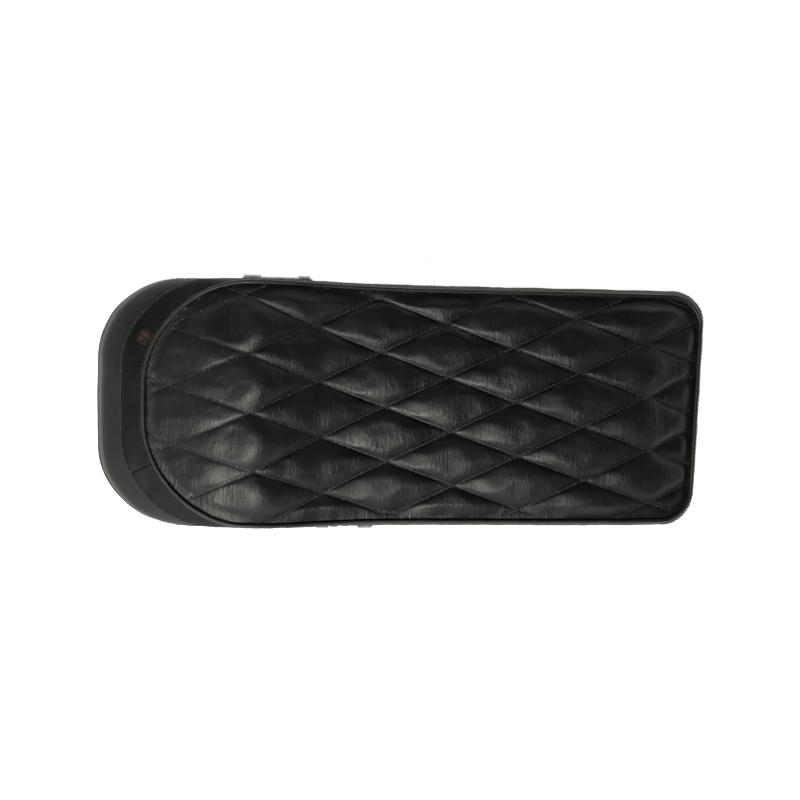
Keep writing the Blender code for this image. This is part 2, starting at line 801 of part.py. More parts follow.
def build_latch_spring():
    """The torsion spring, from the hook's outer face round the pin to the bracket."""
    coil, wire = 0.0044, 0.0005
    start, turns, length = HOOK_X[1] + 0.0010, 3.5, 0.0100
    points = [
        Vector((HOOK_X[1] - 0.0030, -AXIS_Y - 0.0032, 0.0098)),
        Vector((HOOK_X[1] + 0.0010, -AXIS_Y - 0.0034, 0.0100)),
    ]
    steps = int(turns * 10)
    for i in range(steps + 1):
        angle = math.pi + 2 * math.pi * turns * i / steps
        x = start + length * i / steps
        y = -AXIS_Y + coil * math.cos(angle)
        points.append(Vector((x, y, AXIS_Z + coil * math.sin(angle))))
    points.append(Vector((start + length + 0.0006, -AXIS_Y + coil, AXIS_Z - 0.0035)))
    points.append(Vector((start + length + 0.0006, -AXIS_Y + 0.0120, AXIS_Z - 0.0035)))
    bm = bmesh.new()
    sections = []
    for i, point in enumerate(points):
        ahead = points[min(i + 1, len(points) - 1)]
        behind = points[max(i - 1, 0)]
        along = (ahead - behind).normalized()
        side = along.cross(Vector((0.0, 0.31, 0.95))).normalized()
        if abs(along.x) > 0.9:
            side = Vector((0.0, 1.0, 0.0)).cross(along).normalized()
        up = side.cross(along)
        section = circle(0.0, 0.0, wire, 5)
        sections.append([bm.verts.new(point + side * a + up * b) for a, b in section])
    skin_closed_rings(bm, sections)
    bm.faces.new(sections[0])
    bm.faces.new(sections[-1])
    add_mesh("latch_spring", bm, "spring_steel", SEAT)


def build_hinge():
    build_bracket("hinge_bracket", HINGE_STRAPS, 1)
    build_leaf("hinge_leaf", HINGE_STRAPS, 1)
    build_pin("hinge_pin", HINGE_STRAPS, 1)
    build_ring_clip("hinge_ring", HINGE_STRAPS, 1)


def build_latch():
    build_bracket("latch_bracket", LATCH_STRAPS, -1)
    build_hook()
    build_pin("latch_pin", LATCH_STRAPS, -1)
    build_ring_clip("latch_ring", LATCH_STRAPS, -1)
    build_latch_spring()


clear_scene()
SEAT = make_collection("motorcycle_seat")
CUTTERS = make_collection("cutters")
CUTTERS.hide_render = True
MATERIALS = make_materials()

build_pan()
build_foam()
build_deck()
build_welt()
build_band()
build_skirt()
build_hem_clips()
build_cross_member("cross_member_front", CROSS_X)
build_cross_member("cross_member_rear", -CROSS_X)
build_buffers()
build_hinge()
build_latch()
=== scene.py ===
"""Looks of the motorcycle bench seat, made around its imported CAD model.

Metres, in the frame of the CAD: +X front, +Y left, +Z up. The quilted top is shaped
diamond by diamond, then filled out a little by a short cloth simulation, pinned along
its stitch lines and at its rim. The rest of the cover is modelled as sewn sheets that
follow the CAD's sections.
"""

import json
import math

import bmesh
import bpy
import numpy as np
from mathutils import Matrix, Vector


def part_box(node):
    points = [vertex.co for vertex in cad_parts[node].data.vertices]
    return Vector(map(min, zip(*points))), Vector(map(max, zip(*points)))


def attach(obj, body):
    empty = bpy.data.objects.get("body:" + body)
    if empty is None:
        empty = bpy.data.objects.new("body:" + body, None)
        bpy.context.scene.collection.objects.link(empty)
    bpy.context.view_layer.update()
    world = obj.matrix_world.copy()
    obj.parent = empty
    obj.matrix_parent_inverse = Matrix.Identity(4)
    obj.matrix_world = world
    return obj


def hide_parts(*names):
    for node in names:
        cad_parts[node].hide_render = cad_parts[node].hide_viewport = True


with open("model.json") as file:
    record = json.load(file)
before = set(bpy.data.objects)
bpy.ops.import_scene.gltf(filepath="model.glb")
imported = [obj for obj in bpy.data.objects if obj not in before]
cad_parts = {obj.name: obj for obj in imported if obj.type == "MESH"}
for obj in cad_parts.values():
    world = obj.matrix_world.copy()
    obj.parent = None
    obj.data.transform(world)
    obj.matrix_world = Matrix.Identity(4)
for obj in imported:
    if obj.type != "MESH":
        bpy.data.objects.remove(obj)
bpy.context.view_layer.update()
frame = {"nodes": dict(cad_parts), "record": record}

# Plan of the cover at five heights, as in the CAD: half width, rear end, front
# end, and the corner radii at the rear and at the front.
HEM = (0.1225, 0.3185, 0.3154, 0.076, 0.034)
BULGE = (0.1260, 0.3210, 0.3174, 0.078, 0.034)
WAIST = (0.1258, 0.3138, 0.3164, 0.081, 0.034)
SEAM = (0.1236, 0.2940, 0.3126, 0.090, 0.034)
WELT = (0.1185, 0.2715, 0.3058, 0.102, 0.034)
NOSE_SLANT = 0.040
NOSE_START = 0.16
NOSE_LENGTH = 0.15
TAIL_SLANT = 0.010
TAIL_BOW = 0.30
TAIL_START = -0.20
TAIL_LENGTH = 0.10
SWELL_X = -0.150
SWELL_REACH = 0.085
SIDE_SWELL = 0.0026
WELT_SWELL = 0.0042

# Steps round a plan, from the middle of the front edge: to the front corner,
# round it, along the side, round the rear corner, and to the middle of the rear.
STEP_KNOTS = (0, 3, 7, 20, 26, 28)
HALF_LOOP = STEP_KNOTS[-1]
LOOP = 2 * HALF_LOOP
FRONT_SEAM_STEP = 5
REAR_SEAM_STEP = 20
BAND_SEAM_STEP = 24.3

# Stations along the seat: x, height of the centre line, height of the welt.
STATIONS = np.array(
    (
        (-0.271, 0.087, 0.084),
        (-0.235, 0.102, 0.089),
        (-0.195, 0.116, 0.096),
        (-0.160, 0.121, 0.100),
        (-0.125, 0.111, 0.097),
        (-0.092, 0.100, 0.091),
        (-0.045, 0.097, 0.088),
        (0.050, 0.100, 0.088),
        (0.150, 0.103, 0.089),
        (0.230, 0.098, 0.086),
        (0.305, 0.080, 0.077),
    )
)
SPINE_REAR = -0.185
SPINE_FRONT = 0.225
CROWN_POWER = 2.4

# The cover
HEM_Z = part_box("skirt_left")[0].z
BAND_DROP = 0.016
WELT_RADIUS = 0.0022
VINYL = 0.0014
FABRIC_STEP = 0.0024
JOIN_GAP = 0.012  # in steps, left open at each side of a join between two panels
PANEL_SEAM_ROWS = slice(9, 38)  # rows of a wall panel's grid that its end seams run along

# The quilting: columns of crossings along the seat, and rows across it. Crossings
# stand where column and row are both even or both odd.
COLUMNS = np.array(
    (-0.412, -0.328, -0.244, -0.165, -0.095, -0.029, 0.038, 0.106, 0.175, 0.248, 0.322, 0.396)
)
FIRST_COLUMN = -5
ROW_PITCH = 0.0278
ROW_LEAN = -0.0019
ROW_RISE = 0.049
REAR_ROW_GROWTH = 0.07
CELL_STEPS = 30
PUFF = 0.0084
REAR_FLATNESS = 0.55
GROOVE = 0.0038
MOST_INFLATED = 0.0018
QUILT_LEATHER = 0.0019
WADDING = 0.0082
WADDING_TUCK = 0.0016  # how much lower the wadding lies at the rim
WADDING_INSET = 0.0030  # how far it stops short of the rim
WADDING_LEAST = 0.0006
RIM_GAP = 0.0002
RIM_FOLD = 0.0030

# Thread
STITCH_PITCH = 0.0052
STITCH_LENGTH = 0.0040
THREAD_RADIUS = 0.00050
TOPSTITCH = (0.0036, 0.0027, 0.00036)  # pitch, stitch length and thread radius
TOPSTITCH_LIFT = 0.0002

rng = np.random.default_rng(7)


# ---------------------------------------------------------------- plan and deck


def along(x, column):
    """Heights at x from the stations, by a cubic through them."""
    xs, zs = STATIONS[:, 0], STATIONS[:, column]
    x = np.clip(x, xs[0], xs[-1])
    last = len(xs) - 1
    i = np.clip(np.searchsorted(xs, x, side="right") - 1, 0, last - 1)
    lo, hi = np.maximum(i - 1, 0), np.minimum(i + 2, last)
    span = xs[i + 1] - xs[i]
    m0 = (zs[i + 1] - zs[lo]) / (xs[i + 1] - xs[lo]) * span
    m1 = (zs[hi] - zs[i]) / (xs[hi] - xs[i]) * span
    t = (x - xs[i]) / span
    start = (2 * t**3 - 3 * t**2 + 1) * zs[i] + (t**3 - 2 * t**2 + t) * m0
    return start + (3 * t**2 - 2 * t**3) * zs[i + 1] + (t**3 - t**2) * m1


def welt_z(x):
    return along(x, 2)


def seam_z(x):
    return welt_z(x) - BAND_DROP


def side_z(x, part):
    """Height at this part of the way from the hem up to the lower seam."""
    return HEM_Z + part * (seam_z(x) - HEM_Z)


def mix(a, b, t):
    return tuple(p + t * (q - p) for p, q in zip(a, b))


def smooth(low, high, value):
    t = np.clip((value - low) / (high - low), 0.0, 1.0)
    return t * t * (3 - 2 * t)


def slanted(x, y):
    """x moved forward or back with y, more and more towards either end."""
    nose = np.clip((x - NOSE_START) / NOSE_LENGTH, 0.0, 1.0)
    tail = np.clip((TAIL_START - x) / TAIL_LENGTH, 0.0, 1.0)
    return x + y * NOSE_SLANT * nose + (TAIL_BOW * y * y - TAIL_SLANT * y) * tail


def swell(x, plan):
    """How far the sides stand out round the hump."""
    if plan is HEM:
        return 0.0 * x
    most = WELT_SWELL if plan is WELT else SIDE_SWELL
    return most * np.exp(-(((x - SWELL_X) / SWELL_REACH) ** 2))


def outline(plan, steps, inset=0.0):
    """Plan points at these steps, before the nose is slanted."""
    half, rear, front, r_rear, r_front = (value - inset for value in plan)
    steps = np.asarray(steps, float) % LOOP
    mirrored = steps > HALF_LOOP
    s = np.where(mirrored, LOOP - steps, steps)
    k = STEP_KNOTS
    front_turn = np.radians(90 * (s - k[1]) / (k[2] - k[1]))
    rear_turn = np.radians(90 + 90 * (s - k[3]) / (k[4] - k[3]))
    side = (s - k[2]) / (k[3] - k[2])
    parts = [s <= k[1], s <= k[2], s <= k[3], s <= k[4], s > k[4]]
    x = np.select(
        parts,
        [
            front + 0 * s,
            front - r_front + r_front * np.cos(front_turn),
            (front - r_front) + side * (r_rear - rear - front + r_front),
            r_rear - rear + r_rear * np.cos(rear_turn),
            -rear + 0 * s,
        ],
    )
    y = np.select(
        parts,
        [
            (half - r_front) * s / k[1],
            half - r_front + r_front * np.sin(front_turn),
            half + 0 * s,
            half - r_rear + r_rear * np.sin(rear_turn),
            (half - r_rear) * (k[5] - s) / (k[5] - k[4]),
        ],
    )
    y = y * (1.0 + swell(x, plan) / plan[0])
    return x, np.where(mirrored, -y, y)


def ring(plan, steps, height, inset=0.0):
    """A plan as points in space; height is a number or a function of x."""
    x, y = outline(plan, steps, inset)
    z = height(x) if callable(height) else height + 0 * x
    return np.stack([slanted(x, y), y, z], axis=1)


def even_steps(start, end, spacing):
    """Steps from start to end, about this far apart along the welt's outline."""
    fine = np.linspace(start, end, 4001)
    x, y = outline(WELT, fine)
    run = np.concatenate([[0], np.cumsum(np.hypot(np.diff(x), np.diff(y)))])
    count = max(int(round(run[-1] / spacing)), 2)
    return np.interp(np.linspace(0, run[-1], count + 1), run, fine)


def rim_share(x, y, inset):
    """How far out a plan point is: 0 on the spine and 1 on the welt's outline."""
    spine = np.clip(x, SPINE_REAR, SPINE_FRONT)
    fine = np.linspace(0, LOOP, 4001)[:-1]
    rim_x, rim_y = outline(WELT, fine, inset)
    reach = (WELT[0] - inset) * (1.0 + swell(x, WELT) / WELT[0])
    share = np.abs(y) / reach
    for centre, beyond in ((SPINE_REAR, x < SPINE_REAR), (SPINE_FRONT, x > SPINE_FRONT)):
        turn = 1.0 if centre > 0 else -1.0
        on_end = turn * (rim_x - centre) >= 0
        angle = np.arctan2(rim_y[on_end], turn * (rim_x[on_end] - centre))
        end_reach = np.hypot(rim_y[on_end], rim_x[on_end] - centre)
        order = np.argsort(angle)
        own = np.arctan2(y, turn * (x - centre))
        rim = np.interp(own, angle[order], end_reach[order])
        share = np.where(beyond, np.hypot(y, x - centre) / rim, share)
        reach = np.where(beyond, rim, reach)
    return share, spine, reach


def deck_z(x, share):
    """Height of the crowned deck, before the quilting."""
    rim = welt_z(x)
    crown = 1.0 - np.clip(share, 0.0, 1.0) ** CROWN_POWER
    return rim + (along(x, 1) - rim) * crown


def ripple(points, size, seed, octaves=2):
    """Smooth unevenness from -1 to 1 over points, its waves about this size."""
    local = np.random.default_rng(seed)
    total = np.zeros(len(points))
    for octave in range(octaves):
        for _ in range(5):
            direction = local.normal(size=3)
            direction *= 2 * math.pi / (size * local.uniform(0.7, 1.6) / 2**octave)
            direction /= math.sqrt(3)
            total += np.sin(points @ direction + local.uniform(0, 6.28)) / 2**octave
    return total / 4.5


# ---------------------------------------------------------------------- meshes


def mesh_object(name, points, faces, material):
    mesh = bpy.data.meshes.new(name)
    mesh.from_pydata([tuple(p) for p in points], [], faces)
    mesh.validate()
    obj = bpy.data.objects.new(name, mesh)
    bpy.context.scene.collection.objects.link(obj)
    mesh.materials.append(material)
    for polygon in mesh.polygons:
        polygon.use_smooth = True
    return obj


def loft(name, rings, material, closed_section=True, closed_loop=False):
    """A surface through rings of points, each (count, 3); the section runs ring to ring."""
    stack = np.stack(rings)
    rows, count = stack.shape[:2]
    faces = []
    row_pairs = rows if closed_section else rows - 1
    for i in range(row_pairs):
        for j in range(count if closed_loop else count - 1):
            a, b = i * count, ((i + 1) % rows) * count
            k = (j + 1) % count
            faces.append((a + j, a + k, b + k, b + j))
    if closed_section and not closed_loop:
        half = rows // 2
        for j, turn in ((0, 1), (count - 1, -1)):
            for i in range(half - 1):
                quad = (i, i + 1, rows - 2 - i, rows - 1 - i)
                quad = [(r % rows) * count + j for r in quad]
                faces.append(quad[::turn])
            if rows % 2:
                tip = [r * count + j for r in (half - 1, half, half + 1)]
                faces.append(tip[::turn])
    obj = mesh_object(name, stack.reshape(-1, 3), faces, material)
    outward(obj)
    return obj


def outward(obj):
    """Turns the faces of a closed mesh outward."""
    bm = bmesh.new()
    bm.from_mesh(obj.data)
    bmesh.ops.recalc_face_normals(bm, faces=bm.faces)
    bm.to_mesh(obj.data)
    bm.free()


def spread(controls, per_span):
    """Rings between control rings, on smooth curves through them."""
    stack = np.stack(controls)
    rings = []
    last = len(stack) - 1
    for i in range(last):
        p0, p1 = stack[max(i - 1, 0)], stack[i]
        p2, p3 = stack[i + 1], stack[min(i + 2, last)]
        for t in np.arange(per_span) / per_span:
            m0, m1 = (p2 - p0) / 2, (p3 - p1) / 2
            rings.append(
                (2 * t**3 - 3 * t**2 + 1) * p1
                + (t**3 - 2 * t**2 + t) * m0
                + (3 * t**2 - 2 * t**3) * p2
                + (t**3 - t**2) * m1
            )
    rings.append(stack[last])
    return np.stack(rings)


def normals_of(grid):
    """Unit normals of a grid of points."""
    down = np.gradient(grid, axis=0)
    round_ = np.gradient(grid, axis=1)
    normal = np.cross(round_, down)
    length = np.linalg.norm(normal, axis=2, keepdims=True)
    return normal / np.maximum(length, 1e-12)


def outward_normals(grid):
    """Unit normals of a grid of points, turned away from the middle of its middle row."""
    normal = normals_of(grid)
    centre = grid[grid.shape[0] // 2].mean(axis=0)
    return normal * np.sign(np.mean(np.sum(normal * (grid - centre), axis=2)))


def thick_sheet(name, grid, depth, material):
    """A closed sheet from a grid of outer points, with this depth inward."""
    inner = grid - outward_normals(grid) * depth
    return loft(name, list(grid) + list(inner[::-1]), material)


def stitch_row(points, ups, pitch=STITCH_PITCH, length=STITCH_LENGTH, radius=THREAD_RADIUS):
    """Vertices and faces of short lengths of thread along a path."""
    run = np.concatenate([[0], np.cumsum(np.linalg.norm(np.diff(points, axis=0), axis=1))])
    count = int((run[-1] - length) / pitch)
    vertices, faces = [], []
    sides = 6
    sink = (-0.9, -0.25, 0.25, 0.25, -0.25, -0.9)
    places = (0.0, 0.18, 0.40, 0.60, 0.82, 1.0)
    sizes = (0.55, 1.0, 1.05, 1.05, 1.0, 0.55)
    for number in range(count):
        start = pitch * (number + 0.5) + rng.uniform(-0.1, 0.1) * pitch
        at = start + np.array(places) * length
        centre = np.stack([np.interp(at, run, points[:, k]) for k in range(3)], axis=1)
        up = np.stack([np.interp(at, run, ups[:, k]) for k in range(3)], axis=1)
        up /= np.linalg.norm(up, axis=1, keepdims=True)
        ahead = centre[-1] - centre[0]
        ahead /= np.linalg.norm(ahead)
        side = np.cross(up, ahead)
        first = len(vertices)
        for c, u, w, s, k in zip(centre, up, side, sink, sizes):
            for i in range(sides):
                turn = 2 * math.pi * i / sides
                offset = u * math.sin(turn) + w * math.cos(turn)
                vertices.append(c + u * s * radius + offset * radius * k)
        for i in range(len(places) - 1):
            for j in range(sides):
                a, b = first + i * sides, first + (i + 1) * sides
                n = (j + 1) % sides
                faces.append((a + j, b + j, b + n, a + n))
        faces.append([first + j for j in range(sides)])
        tail = first + (len(places) - 1) * sides
        faces.append([tail + j for j in reversed(range(sides))])
    return vertices, faces


def thread_object(name, rows, material):
    vertices, faces = [], []
    for row_vertices, row_faces in rows:
        first = len(vertices)
        vertices += row_vertices
        faces += [[first + i for i in face] for face in row_faces]
    return mesh_object(name, vertices, faces, material)


# ------------------------------------------------------------------- materials


class Look:
    """A material's node tree, with short ways to fill it."""

    def __init__(self, name):
        self.material = bpy.data.materials.new(name)
        self.material.use_nodes = True
        self.tree = self.material.node_tree
        self.shader = self.tree.nodes["Principled BSDF"]
        self.place = self.add("ShaderNodeTexCoord").outputs["Object"]

    def add(self, kind, **settings):
        node = self.tree.nodes.new(kind)
        for key, value in settings.items():
            setattr(node, key, value)
        return node

    def feed(self, socket, value):
        if isinstance(value, bpy.types.NodeSocket):
            self.tree.links.new(value, socket)
        else:
            socket.default_value = value

    def stretch(self, scale, turn=0.0):
        """The place, scaled per axis and turned about Z."""
        node = self.add("ShaderNodeMapping")
        node.inputs["Scale"].default_value = scale
        node.inputs["Rotation"].default_value = (0.0, 0.0, turn)
        self.feed(node.inputs["Vector"], self.place)
        return node.outputs["Vector"]

    def noise(self, scale, detail=4.0, roughness=0.55, vector=None, warp=0.0):
        node = self.add("ShaderNodeTexNoise")
        self.feed(node.inputs["Vector"], vector or self.place)
        node.inputs["Scale"].default_value = scale
        node.inputs["Detail"].default_value = detail
        node.inputs["Roughness"].default_value = roughness
        node.inputs["Distortion"].default_value = warp
        return node.outputs["Fac"]

    def cells(self, scale, feature="F1", vector=None, output="Distance"):
        node = self.add("ShaderNodeTexVoronoi", feature=feature)
        self.feed(node.inputs["Vector"], vector or self.place)
        node.inputs["Scale"].default_value = scale
        return node.outputs[output]

    def ramp(self, value, low, high, start=0.0, end=1.0):
        """value from low to high as a number from start to end."""
        node = self.add("ShaderNodeMapRange", clamp=True)
        self.feed(node.inputs["Value"], value)
        for key, number in zip(("From Min", "From Max", "To Min", "To Max"), (low, high, start, end)):
            node.inputs[key].default_value = number
        return node.outputs["Result"]

    def math(self, operation, a, b=0.0):
        node = self.add("ShaderNodeMath", operation=operation)
        self.feed(node.inputs[0], a)
        self.feed(node.inputs[1], b)
        return node.outputs[0]

    def blend(self, share, a, b):
        node = self.add("ShaderNodeMix", data_type="RGBA")
        self.feed(node.inputs["Factor"], share)
        for socket, colour in ((node.inputs["A"], a), (node.inputs["B"], b)):
            self.feed(socket, colour if isinstance(colour, bpy.types.NodeSocket) else (*colour, 1.0))
        return node.outputs["Result"]

    def height(self, value, axis="Z"):
        node = self.add("ShaderNodeSeparateXYZ")
        self.feed(node.inputs["Vector"], self.place)
        return node.outputs[axis]

    def bump(self, layers):
        """Bump maps in turn, each (height, depth in metres)."""
        normal = None
        for value, depth in layers:
            node = self.add("ShaderNodeBump")
            node.inputs["Distance"].default_value = depth
            node.inputs["Strength"].default_value = 1.0
            self.feed(node.inputs["Height"], value)
            if normal is not None:
                self.feed(node.inputs["Normal"], normal)
            normal = node.outputs["Normal"]
        self.feed(self.shader.inputs["Normal"], normal)

    def finish(self, colour, roughness, metallic=0.0, **constants):
        if isinstance(colour, bpy.types.NodeSocket):
            self.feed(self.shader.inputs["Base Color"], colour)
        else:
            self.shader.inputs["Base Color"].default_value = (*colour, 1.0)
        self.feed(self.shader.inputs["Roughness"], roughness)
        self.feed(self.shader.inputs["Metallic"], metallic)
        for name, value in constants.items():
            self.shader.inputs[name.replace("_", " ")].default_value = value
        return self.material


def leather(name, base, worn, rough, grain, crease, specks, specular=0.5, rub_at=None):
    """Coated leather cloth: cell grain, creases, wear and a few pale specks.

    rub_at is a place where the coating is rubbed through to the brown backing.
    """
    look = Look(name)
    tint = look.noise(22.0, 5.0, 0.6)
    colour = look.blend(look.ramp(tint, 0.35, 0.7), base, worn)
    if rub_at is not None:
        near = look.add("ShaderNodeVectorMath", operation="DISTANCE")
        look.feed(near.inputs[0], look.place)
        near.inputs[1].default_value = rub_at
        rub = look.ramp(near.outputs["Value"], 0.010, 0.003)
        rub = look.math("MULTIPLY", rub, look.ramp(look.noise(300.0, 5.0, 0.7), 0.42, 0.60))
        colour = look.blend(rub, colour, (0.085, 0.050, 0.036))
    dots = look.cells(260.0)
    sparse = look.noise(35.0, 2.0)
    dots = look.ramp(dots, 0.05, 0.10, 1.0, 0.0)
    fleck = look.math("MULTIPLY", dots, look.ramp(sparse, 0.60, 0.66))
    fleck = look.math("MULTIPLY", fleck, specks)
    colour = look.blend(fleck, colour, (0.16, 0.16, 0.15))
    pebble = look.cells(820.0, "SMOOTH_F1")
    warped = look.noise(105.0, 4.0, 0.55, look.stretch((1.5, 0.42, 1.0), 0.30), 0.5)
    ridges = look.math("ABSOLUTE", look.math("SUBTRACT", warped, 0.5))
    ridges = look.ramp(ridges, 0.0, 0.20, 0.0, 1.0)
    fine = look.noise(230.0, 5.0, 0.6, None, 0.6)
    look.bump(((ridges, crease), (fine, grain * 1.2), (pebble, grain)))
    smear = look.noise(14.0, 4.0, 0.55, look.stretch((1.0, 2.2, 1.0), -0.4))
    roughness = look.ramp(smear, 0.30, 0.72, rough - 0.07, rough + 0.10)
    return look.finish(colour, roughness, Specular_IOR_Level=specular, IOR=1.50)


def make_quilt_leather():
    base, worn = (0.0030, 0.0032, 0.0028), (0.0056, 0.0058, 0.0049)
    return leather("quilt_leather", base, worn, 0.49, 0.00008, 0.00022, 0.9)


def band_join():
    """The middle of the rear left join of the shoulder strips."""
    step = np.array((BAND_SEAM_STEP,))
    return tuple(ring(mix(WELT, SEAM, 0.45), step, lambda x: welt_z(x) - 0.007)[0])


def make_shaded_strip_leather():
    # A darker copy of the quilt leather: its darkness is painted shade on the shoulder strip.
    base, worn = (0.0020, 0.0021, 0.0018), (0.0040, 0.0041, 0.0034)
    return leather("shaded_strip_leather", base, worn, 0.56, 0.00010, 0.00008, 0.2, 0.26, band_join())


def make_side_vinyl():
    """Matt olive black sheeting, lighter at the rear as painted light and darker along the sides as painted
    shade, lighter and browner low down from dust and painted light, and greyer where it is rubbed.
    """
    look = Look("side_vinyl")
    tint = look.noise(9.0, 6.0, 0.62)
    # Two copies of the sheeting: a lighter one at the rear as painted light, a darker one along the sides as
    # painted shade.
    lit_rear_colour = look.blend(look.ramp(tint, 0.30, 0.72), (0.0095, 0.0099, 0.0068), (0.0150, 0.0155, 0.0106))
    shaded_side_colour = look.blend(look.ramp(tint, 0.30, 0.72), (0.0050, 0.0051, 0.0043), (0.0095, 0.0096, 0.0080))
    colour = look.blend(look.ramp(look.height("X"), -0.21, -0.12), lit_rear_colour, shaded_side_colour)
    # Lighter and browner towards the bottom of the wall: partly old dust, partly painted light on the lower
    # wall.
    lower_wall_dust_and_light = look.ramp(look.height("Z"), 0.060, 0.026, 0.0, 0.55)
    dust = look.math("MULTIPLY", lower_wall_dust_and_light, look.ramp(look.noise(40.0, 6.0, 0.7), 0.42, 0.68))
    colour = look.blend(dust, colour, (0.055, 0.044, 0.031))
    scuff = look.ramp(look.noise(30.0, 8.0, 0.75, look.stretch((1.0, 1.0, 4.0)), 0.8), 0.60, 0.74)
    colour = look.blend(look.math("MULTIPLY", scuff, 0.35), colour, (0.060, 0.058, 0.050))
    grain = look.cells(640.0, "SMOOTH_F1")
    soft = look.noise(120.0, 5.0, 0.6)
    look.bump(((look.noise(26.0, 3.0), 0.0006), (soft, 0.00016), (grain, 0.00012)))
    roughness = look.ramp(look.noise(18.0, 5.0), 0.3, 0.7, 0.56, 0.72)
    shine = {"Specular_IOR_Level": 0.42, "Sheen_Weight": 0.06, "Sheen_Roughness": 0.5}
    return look.finish(colour, roughness, **shine)


def make_welt_vinyl():
    """The piping, with lighter grey patches that are partly rubbed wear and partly a painted highlight."""
    look = Look("welt_vinyl")
    # Lighter grey by noise: partly rubbed wear, partly a painted highlight on the piping.
    rub = look.ramp(look.noise(60.0, 6.0, 0.7), 0.38, 0.66)
    colour = look.blend(rub, (0.006, 0.006, 0.005), (0.020, 0.020, 0.016))
    look.bump(((look.noise(320.0, 4.0), 0.00012), (look.cells(900.0, "SMOOTH_F1"), 0.00008)))
    roughness = look.ramp(look.noise(45.0, 4.0), 0.3, 0.7, 0.42, 0.60)
    return look.finish(colour, roughness, Specular_IOR_Level=0.5)


def make_thread():
    """Bonded thread: twisted and dark, with pale places painted on as highlights."""
    look = Look("thread")
    # Pale places by noise: painted highlights on the thread.
    pale = look.ramp(look.noise(210.0, 3.0, 0.6), 0.50, 0.66)
    colour = look.blend(pale, (0.018, 0.018, 0.016), (0.095, 0.092, 0.080))
    twist = look.add("ShaderNodeTexWave", wave_type="BANDS", bands_direction="DIAGONAL")
    look.feed(twist.inputs["Vector"], look.place)
    twist.inputs["Scale"].default_value = 900.0
    look.bump(((twist.outputs["Fac"], 0.00010),))
    return look.finish(colour, 0.62, Sheen_Weight=0.25, Sheen_Roughness=0.4)


def make_wadding():
    look = Look("wadding")
    fibres = look.noise(300.0, 8.0, 0.7, look.stretch((1.0, 3.0, 1.0), 0.7), 2.0)
    colour = look.blend(fibres, (0.50, 0.48, 0.41), (0.70, 0.68, 0.60))
    look.bump(((look.noise(60.0, 4.0), 0.0010), (fibres, 0.0005)))
    return look.finish(colour, 0.95, Sheen_Weight=0.3)


def make_foam():
    look = Look("foam")
    pores = look.cells(900.0)
    # Darker at the middle of each pore cell: painted shade in the pore hollows.
    colour = look.blend(look.ramp(pores, 0.0, 0.6), (0.42, 0.33, 0.14), (0.74, 0.65, 0.38))
    aged = look.ramp(look.noise(12.0, 4.0), 0.35, 0.75, 0.0, 0.5)
    colour = look.blend(aged, colour, (0.50, 0.35, 0.14))
    look.bump(((look.noise(90.0, 3.0), 0.0006), (pores, 0.0006)))
    return look.finish(colour, 0.92, Sheen_Weight=0.2)


def make_pan_paint():
    """Black stoving paint with dust, chips and rust in its hollows."""
    look = Look("pan_paint")
    dust = look.ramp(look.noise(16.0, 7.0, 0.65), 0.42, 0.72, 0.0, 0.6)
    colour = look.blend(dust, (0.016, 0.016, 0.017), (0.060, 0.054, 0.045))
    rust_mask = look.ramp(look.noise(34.0, 9.0, 0.72, None, 0.5), 0.60, 0.66)
    rust = look.blend(look.noise(140.0, 6.0), (0.075, 0.026, 0.010), (0.22, 0.085, 0.030))
    colour = look.blend(rust_mask, colour, rust)
    look.bump(((rust_mask, 0.00025), (look.noise(420.0, 5.0), 0.00012)))
    roughness = look.math("ADD", look.ramp(dust, 0.0, 0.6, 0.36, 0.62), look.math("MULTIPLY", rust_mask, 0.25))
    return look.finish(colour, roughness, Specular_IOR_Level=0.5, Coat_Weight=0.15, Coat_Roughness=0.25)


def make_zinc():
    """Zinc plate, dulled, with white bloom and a little rust."""
    look = Look("zinc_steel")
    bloom = look.ramp(look.noise(70.0, 7.0, 0.65), 0.40, 0.70)
    colour = look.blend(bloom, (0.36, 0.37, 0.40), (0.58, 0.59, 0.58))
    rust_mask = look.ramp(look.noise(60.0, 9.0, 0.75, None, 0.7), 0.60, 0.68)
    colour = look.blend(rust_mask, colour, (0.17, 0.075, 0.030))
    brushed = look.noise(260.0, 4.0, 0.6, look.stretch((0.25, 3.0, 3.0)))
    look.bump(((rust_mask, 0.00015), (brushed, 0.00006)))
    roughness = look.math("ADD", look.ramp(bloom, 0.0, 1.0, 0.32, 0.52), look.math("MULTIPLY", rust_mask, 0.3))
    metallic = look.ramp(rust_mask, 0.0, 1.0, 1.0, 0.1)
    return look.finish(colour, roughness, metallic)


def make_spring_steel():
    """Blued spring steel with oil and brown edges."""
    look = Look("spring_steel")
    oil = look.ramp(look.noise(80.0, 6.0, 0.65), 0.38, 0.70)
    colour = look.blend(oil, (0.115, 0.122, 0.140), (0.210, 0.195, 0.175))
    rust_mask = look.ramp(look.noise(95.0, 8.0, 0.72), 0.60, 0.67)
    colour = look.blend(rust_mask, colour, (0.14, 0.055, 0.022))
    look.bump(((look.noise(300.0, 5.0, 0.6, look.stretch((3.0, 0.3, 3.0))), 0.00006), (rust_mask, 0.0001)))
    roughness = look.math("ADD", look.ramp(oil, 0.0, 1.0, 0.30, 0.46), look.math("MULTIPLY", rust_mask, 0.3))
    return look.finish(colour, roughness, look.ramp(rust_mask, 0.0, 1.0, 1.0, 0.2))


